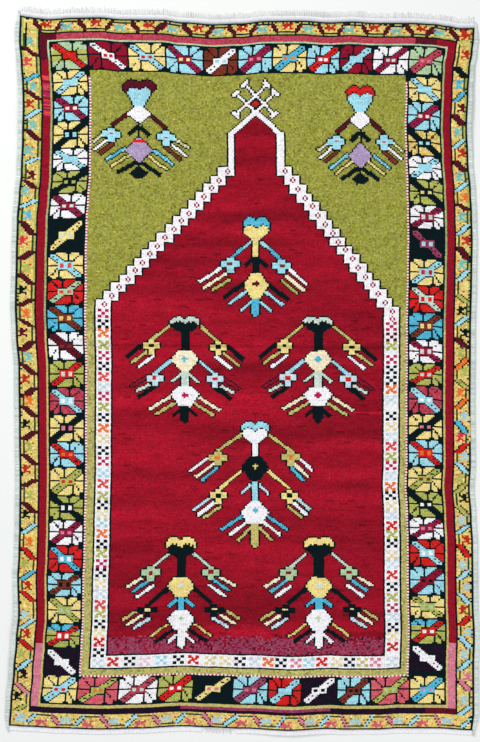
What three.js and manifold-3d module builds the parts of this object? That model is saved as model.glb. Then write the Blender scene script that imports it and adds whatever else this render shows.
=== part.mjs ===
// A hand-knotted Turkish prayer rug of village make, laid out flat with its knotted side up.
//
// Millimetres, +Z up. +Y runs up the prayer niche, +X to its right, and the rug lies on z = 0.
// It is one woven piece: a knotted body as thick as ground weave and pile together, a flat-woven
// web at either end, a corded selvedge down either side, and short cut warp ends as fringe.
// Village weaving is never square, so each edge wanders by the amounts in the tables below.

import * as THREE from "three";
import { mergeVertices } from "three/addons/utils/BufferGeometryUtils.js";
import Module from "manifold-3d";

const wasm = await Module();
wasm.setup();

// Knots and overall size
const KNOT_WIDTH = 4.4; // one knot across the rug
const KNOT_HEIGHT = 3.62; // one row of knots along the rug
const KNOTS_ACROSS = 248;
const KNOT_ROWS = 472;
const BODY_WIDTH = KNOTS_ACROSS * KNOT_WIDTH;
const BODY_LENGTH = KNOT_ROWS * KNOT_HEIGHT;
const BODY_THICKNESS = 9; // ground weave of 3 with pile of 6 on it
const RIM_THICKNESS = 6.4; // the outermost knots lean out and stand lower
const RIM_WIDTH = 7;
const GAP = 0.3; // between neighbouring pieces

// Webs, selvedges and fringe
const WEB_THICKNESS = 2.8;
const SELVEDGE_CORD = 5.8; // diameter of one overcast cord, two of them side by side
const SELVEDGE_WAIST = 0.62; // height between the two cords, as a share of a cord
const STRIP_LENGTH = 3; // the line of the web that the warp ends leave
const STRIP_THICKNESS = 2.4;
const LOCK_WIDTH = 2.9;
const LOCK_ROOT = 1.5; // how far a lock starts inside the strip
const TOP_LOCKS = 200;
const TOP_LOCK_LENGTH = 12.5;
const FRAYED_LOCKS = 12;
const FRAYED_LOCK_LENGTH = 8.5;
const WEB_LENGTH = 12;
const FRAYED_WEB_LENGTH = 3.5; // where the bottom web has frayed back nearly to the knots
const FRAYED_FROM = 0.424; // shares of the width
const FRAYED_TO = 0.48;

// How long each web is, at a share of the width from the left
const TOP_WEB = [
  { at: 0, long: WEB_LENGTH },
  { at: 1, long: WEB_LENGTH },
];
const BOTTOM_WEB = [
  { at: 0, long: WEB_LENGTH },
  { at: FRAYED_FROM - 0.01, long: WEB_LENGTH },
  { at: FRAYED_FROM - 0.002, long: FRAYED_WEB_LENGTH },
  { at: FRAYED_TO + 0.002, long: FRAYED_WEB_LENGTH },
  { at: FRAYED_TO + 0.01, long: WEB_LENGTH },
  { at: 1, long: WEB_LENGTH },
];

// How far each edge strays outwards from the straight line, at a distance from its first corner.
// The side edges are measured down from the top, the end edges from the left.
const LEFT_EDGE = [
  { at: 0, out: -1.2 },
  { at: 60, out: 0.7 },
  { at: 115, out: -3.6 },
  { at: 170, out: -7.3 },
  { at: 215, out: -8.5 },
  { at: 290, out: -6.8 },
  { at: 380, out: -3.6 },
  { at: 430, out: 1.2 },
  { at: 490, out: 6 },
  { at: 580, out: 8.5 },
  { at: 700, out: 10.9 },
  { at: 765, out: 8.5 },
  { at: 850, out: 2.2 },
  { at: 1000, out: 0.7 },
  { at: 1120, out: -0.7 },
  { at: 1230, out: 0.5 },
  { at: 1300, out: 2.2 },
  { at: 1350, out: 5.1 },
  { at: 1440, out: 2.7 },
  { at: 1505, out: 8.5 },
  { at: 1580, out: 14.8 },
  { at: 1650, out: 21.8 },
  { at: 1709, out: 25.4 },
];
const RIGHT_EDGE = [
  { at: 0, out: 9.9 },
  { at: 25, out: 8.7 },
  { at: 58, out: 5.1 },
  { at: 100, out: -1.7 },
  { at: 155, out: -5.3 },
  { at: 242, out: -8.7 },
  { at: 320, out: -5.3 },
  { at: 400, out: 1 },
  { at: 450, out: 3.6 },
  { at: 520, out: 5.3 },
  { at: 600, out: 3.9 },
  { at: 745, out: 1 },
  { at: 914, out: 0 },
  { at: 1060, out: 1 },
  { at: 1120, out: -1.9 },
  { at: 1190, out: 2.7 },
  { at: 1260, out: 6.3 },
  { at: 1400, out: 7.3 },
  { at: 1480, out: 10.6 },
  { at: 1560, out: 8.7 },
  { at: 1665, out: 9.2 },
  { at: 1709, out: 4.6 },
];
const TOP_EDGE = [
  { at: 0, out: 14.3 },
  { at: 21, out: 11 },
  { at: 40, out: 8.2 },
  { at: 67, out: 5 },
  { at: 127, out: 8.2 },
  { at: 185, out: 8.7 },
  { at: 243, out: 3.4 },
  { at: 340, out: 2.7 },
  { at: 388, out: -3.4 },
  { at: 461, out: -8.7 },
  { at: 526, out: -5.8 },
  { at: 592, out: 0.5 },
  { at: 679, out: 1 },
  { at: 737, out: -1.7 },
  { at: 795, out: 1.5 },
  { at: 853, out: -1.9 },
  { at: 940, out: -1.5 },
  { at: 993, out: -3.9 },
  { at: 1027, out: -8.7 },
  { at: 1056, out: -13.6 },
  { at: 1091, out: -13.1 },
];
const BOTTOM_EDGE = [
  { at: 0, out: -6.5 },
  { at: 40, out: -3.9 },
  { at: 120, out: -0.5 },
  { at: 210, out: 1.5 },
  { at: 300, out: -0.7 },
  { at: 410, out: -5.8 },
  { at: 465, out: -3.4 },
  { at: 550, out: 0.7 },
  { at: 660, out: 6 },
  { at: 750, out: 1.7 },
  { at: 790, out: 3.6 },
  { at: 865, out: 3.1 },
  { at: 920, out: -0.5 },
  { at: 1005, out: -1 },
  { at: 1091, out: 3.9 },
];

// Low ripples where the cloth stands clear of the floor: where each is, how far it spreads
// across and along the rug, and how high it lifts.
const RIPPLES = [
  { name: "top edge, left of the niche", x: -95, y: 862, across: 48, along: 75, lift: 5 },
  { name: "top edge, right of the niche", x: 150, y: 850, across: 70, along: 60, lift: 3.5 },
  { name: "right edge, upper", x: 540, y: 640, across: 55, along: 95, lift: 4.5 },
  { name: "left edge, upper", x: -535, y: 640, across: 50, along: 90, lift: 3 },
  { name: "left edge, lower", x: -545, y: -640, across: 55, along: 110, lift: 4 },
  { name: "bottom edge", x: 115, y: -858, across: 95, along: 55, lift: 4 },
];

// The mark of an old fold across the rug: a soft trough with a low ridge on either side.
const CREASE_Y = 68;
const CREASE_DEPTH = 1.6;
const CREASE_HALF_WIDTH = 9;
const CREASE_RIDGE = 0.8;
const CREASE_RIDGE_AWAY = 24;

// Grid of the knotted body, finer at its rim and at the crease
const BODY_CELLS_ACROSS = 30;
const BODY_CELLS_ALONG = 40;

// The smooth wander of an edge at a distance along it
function strayAt(edge, at) {
  const next = edge.findIndex((station) => station.at >= at);
  if (next <= 0) return next === 0 ? edge[0].out : edge[edge.length - 1].out;
  const from = edge[next - 1];
  const to = edge[next];
  const share = THREE.MathUtils.smoothstep(at, from.at, to.at);
  return THREE.MathUtils.lerp(from.out, to.out, share);
}

// A point of the rug's plan: u runs from the left edge to the right, v from the top edge down.
function planPoint(u, v) {
  const across = THREE.MathUtils.clamp(u, 0, 1);
  const down = THREE.MathUtils.clamp(v, 0, 1);
  const left = strayAt(LEFT_EDGE, down * BODY_LENGTH);
  const right = strayAt(RIGHT_EDGE, down * BODY_LENGTH);
  const top = strayAt(TOP_EDGE, across * BODY_WIDTH);
  const bottom = strayAt(BOTTOM_EDGE, across * BODY_WIDTH);
  return new THREE.Vector2(
    (across - 0.5) * BODY_WIDTH + across * right - (1 - across) * left,
    (0.5 - down) * BODY_LENGTH + (1 - down) * top - down * bottom,
  );
}

// How far the cloth stands clear of the floor
function liftAt(x, y) {
  return RIPPLES.reduce((sum, ripple) => {
    const a = (x - ripple.x) / ripple.across;
    const b = (y - ripple.y) / ripple.along;
    const falls = Math.exp(-(a * a + b * b)) - 0.08;
    return sum + ripple.lift * Math.max(0, falls) / 0.92;
  }, 0);
}

// Height of the fold mark above or below the pile
function creaseAt(y) {
  const away = Math.abs(y - CREASE_Y);
  const trough = Math.exp(-((away / CREASE_HALF_WIDTH) ** 2));
  const ridge = Math.exp(-(((away - CREASE_RIDGE_AWAY) / CREASE_HALF_WIDTH) ** 2));
  return CREASE_RIDGE * ridge - CREASE_DEPTH * trough;
}

// A repeatable number from 0 to 1 for the n-th lock, so that no two locks are quite alike
function uneven(n, kind) {
  const wave = Math.sin(n * 12.9898 + kind * 78.233) * 43758.5453;
  return wave - Math.floor(wave);
}

// Grid lines from 0 to 1, with the first and last cell as narrow as the rim
function gridLines(cells, length) {
  const inner = cells - 2;
  const rim = RIM_WIDTH / length;
  const lines = Array.from({ length: inner + 1 }, (_, n) => rim + ((1 - 2 * rim) * n) / inner);
  return [0, ...lines, 1];
}

// The same lines with the three nearest the crease moved onto its ridges and its trough
function creasedLines(cells, length) {
  const lines = gridLines(cells, length);
  const middle = 0.5 - CREASE_Y / length;
  const nearest = lines.reduce(
    (best, line, n) => (Math.abs(line - middle) < Math.abs(lines[best] - middle) ? n : best),
    0,
  );
  lines[nearest - 1] = middle - CREASE_RIDGE_AWAY / length;
  lines[nearest] = middle;
  lines[nearest + 1] = middle + CREASE_RIDGE_AWAY / length;
  return lines;
}

// Every piece along an edge turns at the same stations, so that the gap between them stays even
const COLUMNS = gridLines(BODY_CELLS_ACROSS, BODY_WIDTH);
const ROWS = creasedLines(BODY_CELLS_ALONG, BODY_LENGTH);

// A point of the top or bottom edge, on the straight line between two stations
function endPoint(isTop, u) {
  const v = isTop ? 0 : 1;
  const next = Math.max(1, COLUMNS.findIndex((column) => column >= u));
  const share = (u - COLUMNS[next - 1]) / (COLUMNS[next] - COLUMNS[next - 1]);
  return planPoint(COLUMNS[next - 1], v).lerp(planPoint(COLUMNS[next], v), share);
}

// Moves each point of a geometry by a function of the point
function reshape(geometry, place) {
  const points = geometry.getAttribute("position");
  const point = new THREE.Vector3();
  for (let n = 0; n < points.count; n++) {
    place(point.fromBufferAttribute(points, n));
    points.setXYZ(n, point.x, point.y, point.z);
  }
  geometry.deleteAttribute("normal");
  geometry.deleteAttribute("uv");
  const closed = mergeVertices(geometry, 1e-4);
  closed.computeVertexNormals();
  return closed;
}

// The knotted body: a sheet of even thickness that thins at its rim and follows the ripples
function knottedBody() {
  const block = new THREE.BoxGeometry(1, 1, 1, BODY_CELLS_ACROSS, BODY_CELLS_ALONG, 1);
  return reshape(block, (point) => {
    const column = Math.round((point.x + 0.5) * BODY_CELLS_ACROSS);
    const row = Math.round((0.5 - point.y) * BODY_CELLS_ALONG);
    const plan = planPoint(COLUMNS[column], ROWS[row]);
    const onRim = column % BODY_CELLS_ACROSS === 0 || row % BODY_CELLS_ALONG === 0;
    const thickness = onRim ? RIM_THICKNESS : BODY_THICKNESS + creaseAt(plan.y);
    const floor = liftAt(plan.x, plan.y);
    point.set(plan.x, plan.y, floor + (point.z > 0 ? thickness : 0));
  });
}

// The reach out from an end at a share of the width
function reachAt(rows, u) {
  const next = Math.max(1, rows.findIndex((row) => row.at >= u));
  const from = rows[next - 1];
  const to = rows[next];
  return THREE.MathUtils.mapLinear(u, from.at, to.at, from.long, to.long);
}

// A strip along an end, from one share of the width to another. The distance out from the
// body's end edge is near on its one side, and far at each share on its other.
function endStrip(isTop, near, far, thickness) {
  const first = far[0].at;
  const last = far[far.length - 1].at;
  const inner = COLUMNS.filter((column) => column > first && column < last);
  const turns = far.map((row) => row.at).filter((at) => !inner.includes(at));
  const stations = [...inner, ...turns].sort((a, b) => a - b);
  const cells = stations.length - 1;
  return reshape(new THREE.BoxGeometry(1, 1, 1, cells, 1, 1), (point) => {
    const u = stations[Math.round((point.x + 0.5) * cells)];
    const edge = endPoint(isTop, u);
    const out = point.y > 0 === isTop ? reachAt(far, u) : near;
    const y = edge.y + (isTop ? out : -out);
    point.set(edge.x, y, liftAt(edge.x, y) + (point.z > 0 ? thickness : 0));
  });
}

// A web is woven on from the body's end edge
function web(isTop, rows) {
  const far = rows.map((row) => ({ at: row.at, long: GAP + row.long }));
  return endStrip(isTop, GAP, far, WEB_THICKNESS);
}

// The section of a selvedge: two overcast cords side by side, level where they rest
function selvedgeSection() {
  const radius = SELVEDGE_CORD / 2;
  const waist = SELVEDGE_CORD * SELVEDGE_WAIST;
  const section = new THREE.Shape();
  section.moveTo(0.6, 0);
  section.lineTo(2 * SELVEDGE_CORD - 0.6, 0);
  section.lineTo(2 * SELVEDGE_CORD, radius);
  section.lineTo(2 * SELVEDGE_CORD - 0.8, SELVEDGE_CORD - 0.6);
  section.lineTo(1.5 * SELVEDGE_CORD, SELVEDGE_CORD);
  section.lineTo(SELVEDGE_CORD + 0.7, waist + 0.5);
  section.lineTo(SELVEDGE_CORD, waist);
  section.lineTo(SELVEDGE_CORD - 0.7, waist + 0.5);
  section.lineTo(0.5 * SELVEDGE_CORD, SELVEDGE_CORD);
  section.lineTo(0.8, SELVEDGE_CORD - 0.6);
  section.lineTo(0, radius);
  section.closePath();
  return section;
}

// A selvedge runs down one side, past the body and along the ends of both webs
function selvedge(isLeft) {
  const side = isLeft ? 0 : 1;
  const edge = ROWS.map((row) => planPoint(side, row));
  const first = edge[0].clone();
  first.y += GAP + WEB_LENGTH;
  const last = edge[edge.length - 1].clone();
  last.y -= GAP + WEB_LENGTH;
  const stations = [first, ...edge, last];
  const steps = stations.length - 1;
  const bar = new THREE.ExtrudeGeometry(selvedgeSection(), {
    depth: 1,
    steps,
    bevelEnabled: false,
  });
  return reshape(bar, (point) => {
    const station = stations[Math.round(point.z * steps)];
    const x = station.x + point.x + (isLeft ? -GAP - 2 * SELVEDGE_CORD : GAP);
    point.set(x, station.y, liftAt(x, station.y) + point.y);
  });
}

// One lock of warp ends, square in section and tapering to its tip, level on the floor
function lock(isTop, u, out, length, n) {
  const edge = endPoint(isTop, u);
  const lean = 0.2 * Math.sin(n * 0.35) + 0.14 * (uneven(n, 1) - 0.5);
  const width = LOCK_WIDTH * (0.75 + 0.35 * uneven(n, 2));
  const reach = length * (0.65 + 0.45 * uneven(n, 3));
  return reshape(new THREE.BoxGeometry(1, 1, 1), (point) => {
    const tip = point.y > 0;
    const along = tip ? reach : -LOCK_ROOT;
    const across = point.x * width * (tip ? 0.45 : 1) + (tip ? lean * reach : 0);
    const side = isTop ? 1 : -1;
    const x = edge.x + side * across;
    const y = edge.y + side * (out + along);
    const floor = liftAt(edge.x, edge.y + side * out);
    const height = (tip ? 0.55 : 0.85) * STRIP_THICKNESS;
    point.set(x, y, floor + (point.z > 0 ? height : 0));
  });
}

// A closed geometry as a solid, and back
function toSolid(geometry) {
  return new wasm.Manifold(
    new wasm.Mesh({
      numProp: 3,
      vertProperties: new Float32Array(geometry.getAttribute("position").array),
      triVerts: new Uint32Array(geometry.index.array),
    }),
  );
}

function toGeometry(solid) {
  const mesh = solid.getMesh();
  const geometry = new THREE.BufferGeometry();
  geometry.setAttribute("position", new THREE.BufferAttribute(mesh.vertProperties, 3));
  geometry.setIndex(new THREE.BufferAttribute(mesh.triVerts, 1));
  geometry.computeVertexNormals();
  return geometry;
}

// A fringe: a narrow strip past the web, with the locks' roots fused into it
function fringe(isTop, webLength, fromShare, toShare, locks, lockLength) {
  const near = 2 * GAP + webLength;
  const far = near + STRIP_LENGTH;
  const ends = [fromShare, toShare].map((at) => ({ at, long: far }));
  let joined = toSolid(endStrip(isTop, near, ends, STRIP_THICKNESS));
  for (let n = 0; n < locks; n++) {
    const u = fromShare + ((toShare - fromShare) * (n + 0.5)) / locks;
    joined = joined.add(toSolid(lock(isTop, u, far, lockLength, n)));
  }
  return toGeometry(joined);
}

function yarn(color, roughness) {
  return new THREE.MeshStandardMaterial({ color, roughness, metalness: 0 });
}

const pileWool = yarn(0x9c1626, 0.95);
const webCotton = yarn(0xe9e8ea, 0.9);
const selvedgeWool = yarn(0xb9c8c0, 0.9);
const warpCotton = yarn(0xe2e0e2, 0.9);

const rug = new THREE.Group();

function addPiece(name, geometry, material) {
  const mesh = new THREE.Mesh(geometry, material);
  mesh.name = name;
  rug.add(mesh);
}

addPiece("knotted_body", knottedBody(), pileWool);
addPiece("web_top", web(true, TOP_WEB), webCotton);
addPiece("web_bottom", web(false, BOTTOM_WEB), webCotton);
addPiece("selvedge_left", selvedge(true), selvedgeWool);
addPiece("selvedge_right", selvedge(false), selvedgeWool);
addPiece("fringe_top", fringe(true, WEB_LENGTH, 0, 1, TOP_LOCKS, TOP_LOCK_LENGTH), warpCotton);
addPiece(
  "fringe_bottom",
  fringe(
    false,
    FRAYED_WEB_LENGTH,
    FRAYED_FROM,
    FRAYED_TO,
    FRAYED_LOCKS,
    FRAYED_LOCK_LENGTH,
  ),
  warpCotton,
);

// The origin is under the middle of the whole rug, on the floor
const outer = new THREE.Box3().setFromObject(rug);
const middle = outer.getCenter(new THREE.Vector3());
rug.position.set(-middle.x, -middle.y, -outer.min.z);

export default rug;
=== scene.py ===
"""A hand-knotted Turkish prayer rug laid out flat, tied here knot by knot.

Sizes are millimetres until a mesh is made, and the axes are those of the solids. The pattern
is drawn on a chart with one entry for each knot. Places on it are given in squares of 2.42 mm,
counted from the top left of the picture, and lie on the rug as woven, with its uneven edges.
"""

import math

import bpy
import numpy as np
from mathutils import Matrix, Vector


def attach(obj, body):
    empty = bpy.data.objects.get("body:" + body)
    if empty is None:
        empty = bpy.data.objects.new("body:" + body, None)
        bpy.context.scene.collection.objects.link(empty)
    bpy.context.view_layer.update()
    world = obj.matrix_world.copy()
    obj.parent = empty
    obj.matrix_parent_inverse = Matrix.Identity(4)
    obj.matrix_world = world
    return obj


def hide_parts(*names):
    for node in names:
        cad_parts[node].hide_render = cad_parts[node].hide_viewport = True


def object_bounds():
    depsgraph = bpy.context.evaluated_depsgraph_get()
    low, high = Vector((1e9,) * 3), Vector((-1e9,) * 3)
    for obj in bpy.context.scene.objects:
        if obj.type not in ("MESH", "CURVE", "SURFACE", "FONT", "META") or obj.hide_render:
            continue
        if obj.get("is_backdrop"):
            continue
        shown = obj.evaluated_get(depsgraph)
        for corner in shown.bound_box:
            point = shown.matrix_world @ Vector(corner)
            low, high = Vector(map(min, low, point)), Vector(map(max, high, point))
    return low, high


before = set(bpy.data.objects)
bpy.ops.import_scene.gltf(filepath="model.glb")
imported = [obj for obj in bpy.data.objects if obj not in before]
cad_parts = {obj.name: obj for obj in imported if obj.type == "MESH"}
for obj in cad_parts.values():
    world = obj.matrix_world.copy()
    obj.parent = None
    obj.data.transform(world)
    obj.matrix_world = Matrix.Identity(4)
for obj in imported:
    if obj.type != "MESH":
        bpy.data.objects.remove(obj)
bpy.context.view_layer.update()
rng = np.random.default_rng(1908)


def table(text):
    """A table written as text: commas part its rows, and what starts with a digit is a number."""
    return [
        tuple(float(word) if word.lstrip("-")[0].isdigit() else word for word in row.split())
        for row in text.split(",")
    ]


# Sizes shared with the solids
KNOT_WIDTH, KNOT_HEIGHT = 4.4, 3.62
COLS, ROWS = 248, 472
WIDTH, LENGTH = COLS * KNOT_WIDTH, ROWS * KNOT_HEIGHT
PILE_TOP, RIM_TOP, RIM_WIDTH = 9.0, 6.4, 7.0
GAP = 0.3
WEB_LENGTH, FRAYED_WEB, WEB_THICKNESS = 12.0, 3.5, 2.8
FRAYED_FROM, FRAYED_TO = 0.424, 0.48
SELVEDGE_CORD = 5.8
STRIP_LENGTH = 3.0
TOP_LOCKS, TOP_LOCK_LENGTH = 200, 12.5
FRAYED_LOCKS, FRAYED_LOCK_LENGTH = 12, 8.5
LOCK_ROOT = 1.5
CREASE_Y, CREASE_DEPTH, CREASE_HALF, CREASE_RIDGE, CREASE_AWAY = 68, 1.6, 9, 0.8, 24
BOX_SHIFT = (7.401, -11.098)  # puts the middle of the whole rug at the origin

# One square of the drawing, the square that the middle of the straight rug falls on, and how
# many squares the picture has
SQUARE = 2.42
MIDDLE_X, MIDDLE_Y = 244.95, 375.4
PICTURE_WIDTH, PICTURE_HEIGHT = 480, 742
KX, KY = KNOT_WIDTH / SQUARE, KNOT_HEIGHT / SQUARE

# How far each edge strays outwards: distance along the edge, and the stray
LEFT_EDGE = table("""
    0 -1.2, 60 0.7, 115 -3.6, 170 -7.3, 215 -8.5, 290 -6.8, 380 -3.6, 430 1.2, 490 6, 580 8.5,
    700 10.9, 765 8.5, 850 2.2, 1000 0.7, 1120 -0.7, 1230 0.5, 1300 2.2, 1350 5.1, 1440 2.7,
    1505 8.5, 1580 14.8, 1650 21.8, 1709 25.4
""")
RIGHT_EDGE = table("""
    0 9.9, 25 8.7, 58 5.1, 100 -1.7, 155 -5.3, 242 -8.7, 320 -5.3, 400 1, 450 3.6, 520 5.3,
    600 3.9, 745 1, 914 0, 1060 1, 1120 -1.9, 1190 2.7, 1260 6.3, 1400 7.3, 1480 10.6, 1560 8.7,
    1665 9.2, 1709 4.6
""")
TOP_EDGE = table("""
    0 14.3, 21 11, 40 8.2, 67 5, 127 8.2, 185 8.7, 243 3.4, 340 2.7, 388 -3.4, 461 -8.7, 526 -5.8,
    592 0.5, 679 1, 737 -1.7, 795 1.5, 853 -1.9, 940 -1.5, 993 -3.9, 1027 -8.7, 1056 -13.6,
    1091 -13.1
""")
BOTTOM_EDGE = table("""
    0 -6.5, 40 -3.9, 120 -0.5, 210 1.5, 300 -0.7, 410 -5.8, 465 -3.4, 550 0.7, 660 6, 750 1.7,
    790 3.6, 865 3.1, 920 -0.5, 1005 -1, 1091 3.9
""")
# How far the inner lines of the left border lean to the right, down from the top
LEFT_BAND = table("""
    0 2.4, 188 6.2, 381 8, 580 7.4, 672 9.4, 769 7.4, 865 2.9, 1059 0.5, 1253 -3.6, 1349 -3.6,
    1446 -7.3, 1507 -5.6, 1616 -2.4, 1709 0
""")
# and those of the right border
RIGHT_BAND = table("""
    0 2, 67 3, 188 7.5, 309 6.5, 430 3, 551 3, 672 3.6, 793 3.4, 914 2, 1034 1, 1156 1, 1277 -0.8,
    1398 -0.8, 1500 -1.5, 1709 0
""")
# How much further out than the solids the last rows lie, at the top and at the bottom
TOP_REACH = table("0 2.4, 120 3.4, 240 4.4, 420 4, 640 3.4, 800 1, 1091 0")
BOTTOM_REACH = table("0 0, 244 1.8, 438 1.2, 631 0, 825 0, 1018 1.5, 1091 1.2")
# Ripples: x, y, spread across, spread along, lift
RIPPLES = table("""
    -95 862 48 75 5, 150 850 70 60 3.5, 540 640 55 95 4.5, -535 640 50 90 3, -545 -640 55 110 4,
    115 -858 95 55 4
""")


# The rug's form

def smooth(t):
    t = np.clip(t, 0, 1)
    return t * t * (3 - 2 * t)


def stray(edge, at):
    """The smooth wander of an edge at a distance along it."""
    places, outs = np.array(edge, float).T
    n = np.clip(np.searchsorted(places, at), 1, len(places) - 1)
    share = smooth((at - places[n - 1]) / (places[n] - places[n - 1]))
    return outs[n - 1] + (outs[n] - outs[n - 1]) * share


def plan(u, v):
    """A point of the rug's plan: u from its left edge to the right, v from its top down."""
    left, right = stray(LEFT_EDGE, v * LENGTH), stray(RIGHT_EDGE, v * LENGTH)
    top = stray(TOP_EDGE, u * WIDTH) + stray(TOP_REACH, u * WIDTH)
    bottom = stray(BOTTOM_EDGE, u * WIDTH) + stray(BOTTOM_REACH, u * WIDTH)
    lean = np.interp(u, (0, 0.18, 0.6), (0, 1, 0)) * stray(LEFT_BAND, v * LENGTH)
    lean = lean + np.interp(u, (0.4, 0.82, 1), (0, 1, 0)) * stray(RIGHT_BAND, v * LENGTH)
    x = (u - 0.5) * WIDTH + u * right - (1 - u) * left + lean
    y = (0.5 - v) * LENGTH + (1 - v) * top - v * bottom
    return x, y


def lift(x, y):
    """How far the cloth stands clear of the floor."""
    high = 0.0
    for rx, ry, across, along, up in RIPPLES:
        falls = np.exp(-(((x - rx) / across) ** 2 + ((y - ry) / along) ** 2)) - 0.08
        high = high + up * np.maximum(0, falls) / 0.92
    return high


def pile_top(u, v):
    """Height of the pile over the cloth's underside: lower at the rim and in the fold mark."""
    inwards = np.minimum(np.minimum(u, 1 - u) * WIDTH, np.minimum(v, 1 - v) * LENGTH)
    away = np.abs(plan(u, v)[1] - CREASE_Y)
    trough = np.exp(-((away / CREASE_HALF) ** 2))
    ridge = np.exp(-(((away - CREASE_AWAY) / CREASE_HALF) ** 2))
    full = PILE_TOP + CREASE_RIDGE * ridge - CREASE_DEPTH * trough
    return RIM_TOP + (full - RIM_TOP) * smooth(inwards / RIM_WIDTH)


# Dyes, as they look in daylight; one olive among them is paler and yellower, as painted light on
# the lower part of the olive ground
DYES = {name: light for name, *light in table("""
    crimson 160 16 38, red 212 34 32, olive 156 156 68, khaki 188 181 106, gold 230 200 110,
    yellow 242 220 140, sky 162 220 234, blue 86 184 214, white 250 246 251, ink 3 22 26,
    sage 178 206 164, rust 122 50 32, rose 186 66 84, maroon 92 16 34, lilac 178 156 194,
    orange 236 116 48, cream 250 234 200, coral 220 70 72, plum 30 12 34, pink 218 126 146,
    mauve 150 62 92, lime 178 182 92, mist 204 220 206, madder 152 16 38, cerise 182 34 84,
    leaf 160 176 116, teal 124 192 184, brick 186 44 30, tan 204 170 96, straw 234 216 156,
    frost 200 222 232, haze 172 208 212, berry 150 26 66, garnet 146 16 44, salmon 214 96 108,
    dun 200 186 110, wine 156 60 100, moss 44 70 44, blossom 242 206 220
""")}
# Undyed yarn: the webs, a painted shade for the web close to the pile, the fringe and the
# selvedges
COTTON, PILE_SHADOW_COTTON, WARP_COTTON = (246, 245, 250), (222, 236, 236), (244, 243, 246)
SELVEDGE_WOOL = (214, 224, 218)
NAMES = list(DYES)
INK = {name: n for n, name in enumerate(NAMES)}
GROUNDS = (INK["crimson"], INK["olive"])

chart = np.full((ROWS, COLS), INK["ink"], np.int16)
row_of, col_of = np.mgrid[0:ROWS, 0:COLS]
NX, NY = KX * (col_of + 0.5), KY * (row_of + 0.5)
knot_x, knot_y = plan((col_of + 0.5) / COLS, (row_of + 0.5) / ROWS)
PX, PY = MIDDLE_X + knot_x / SQUARE, MIDDLE_Y - knot_y / SQUARE


def spot(x, y):
    """A place of the picture on the straight rug, in squares from the rug's own corner."""
    want_x, want_y = (x - MIDDLE_X) * SQUARE, (MIDDLE_Y - y) * SQUARE
    u, v = 0.5 + want_x / WIDTH, 0.5 - want_y / LENGTH
    for _ in range(5):
        at_x, at_y = plan(u, v)
        u, v = u + (want_x - at_x) / WIDTH, v - (want_y - at_y) / LENGTH
    return float(u) * COLS * KX, float(v) * ROWS * KY


def col_at(x, y):
    return int(round(spot(x, y)[0] / KX))


def row_at(x, y):
    return int(round(spot(x, y)[1] / KY))


# Shapes on the chart, each the knots that it covers

def gem(x, y, rx, ry):
    cx, cy = spot(x, y)
    return np.abs((NX - cx) / rx) ** 1.2 + np.abs((NY - cy) / ry) ** 1.2 <= 1


def block(x, y, rx, ry):
    cx, cy = spot(x, y)
    return (np.abs(NX - cx) <= rx) & (np.abs(NY - cy) <= ry)


def bar(x0, y0, x1, y1, wide):
    (ax, ay), (bx, by) = spot(x0, y0), spot(x1, y1)
    dx, dy = bx - ax, by - ay
    long = math.hypot(dx, dy)
    along = ((NX - ax) * dx + (NY - ay) * dy) / long
    off = np.abs((NX - ax) * dy - (NY - ay) * dx) / long
    return (off <= wide / 2) & (along >= 0) & (along <= long)


def shape(points):
    """The inside of a closed outline."""
    turned = [spot(x, y) for x, y in points]
    inside = np.zeros(chart.shape, bool)
    for (ax, ay), (bx, by) in zip(turned, turned[1:] + turned[:1]):
        if ay == by:
            continue
        crosses = (NY >= min(ay, by)) & (NY < max(ay, by))
        inside ^= crosses & (NX < ax + (NY - ay) * (bx - ax) / (by - ay))
    return inside


def grow(mask):
    wide = mask.copy()
    wide[1:] |= mask[:-1]
    wide[:-1] |= mask[1:]
    wide[:, 1:] |= mask[:, :-1]
    wide[:, :-1] |= mask[:, 1:]
    return wide


def paint(mask, dye, line="ink", over=None):
    """Ties the knots in one dye, with a line of single knots where they meet the ground, and a
    broken line where they meet one more dye."""
    first, _, second = dye.partition("+")
    if over is not None:
        broken = grow(mask) & ~mask & (chart == over) & ((row_of + 2 * col_of) % 5 < 3)
        chart[broken] = INK[line]
    if line and first not in ("ink", "plum"):
        chart[grow(mask) & ~mask & np.isin(chart, GROUNDS)] = INK[line]
    chart[mask] = INK[first]
    if second:
        chart[mask & ((row_of + col_of) % 3 == 0)] = INK[second]


def fill(rows, cols, dye):
    chart[rows[0] : rows[1], cols[0] : cols[1]] = INK[dye]


# The outer borders, as rings: knots in from the left, right, top and bottom edge
RINGS = (
    (1, 1, 1, 1, "gold"), (10, 9, 9, 10, "ink"), (11, 10, 10, 10, "madder"),
    (15, 14, 14, 14, "leaf"), (16, 15, 15, 16, "ink"),
)
for left, right, top, bottom, dye in RINGS:
    fill((top, ROWS - bottom), (left, COLS - right), dye)

# The ground inside the main border: its rows, and the columns of the striped line at its sides
FIRST_ROW, END_ROW = 35, 437
LINE_LEFT, LINE_RIGHT = 36, 212

# The olive ground, and below the niche's shoulders the white border round the crimson field
fill((FIRST_ROW, END_ROW), (LINE_LEFT, LINE_RIGHT + 1), "olive")
HALF = COLS // 2
KNEES = {"left": row_at(98, 301), "right": row_at(395, 309)}
for knee, outer, inner in ((KNEES["left"], 41, 50), (KNEES["right"], 209, 200)):
    for rows, near, far, dye in (
        (432, outer, HALF, "ink"), (431, outer + (1 if outer < HALF else -1), HALF, "white"),
        (423, inner, HALF, "ink"), (422, inner + (1 if inner < HALF else -1), HALF, "crimson"),
    ):
        fill((knee, rows), (min(near, far), max(near, far)), dye)

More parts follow.
